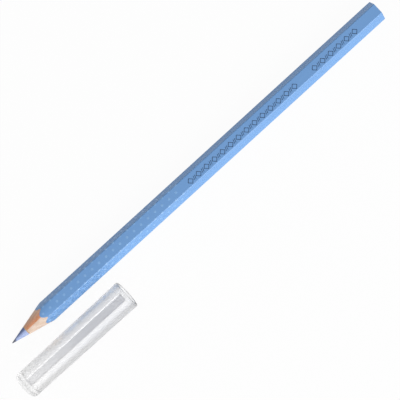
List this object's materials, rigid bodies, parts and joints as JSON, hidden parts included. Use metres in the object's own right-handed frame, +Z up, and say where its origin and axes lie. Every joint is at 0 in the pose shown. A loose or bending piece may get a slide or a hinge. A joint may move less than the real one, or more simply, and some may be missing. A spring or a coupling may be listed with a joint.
{
  "type": "fabric marking pencil",
  "caption": "Hexagonal blue wood-cased marking pencil for fabric, sharpened, with a clear plastic cap that slides off its point and lies beside it.",
  "frame": {"origin": "on the flat that the pencil lies on, at the middle of the pencil's length", "axes": "+X along the pencil from its point to its plain end, +Z up, and the cap lies towards -Y"},
  "size_m": [0.1818, 0.0242, 0.011],
  "materials": {
    "wood": "bare sharpened wood",
    "glue": "dried wood glue",
    "core": "chalky wax core",
    "lacquer": "glossy light blue lacquer",
    "clear_plastic": "clear moulded plastic"
  },
  "bodies": {
    "pencil": {"slat_upper": "wood", "slat_lower": "wood", "glue_line": "glue", "marking_core": "core", "lacquer_coat": "lacquer"},
    "cap": {"cap": "clear_plastic"}
  },
  "joints": [
    {"name": "cap_pull", "type": "slide", "parent": "pencil", "child": "cap", "axis": [-1, 0, 0], "range_m": [0, 0.046]}
  ]
}
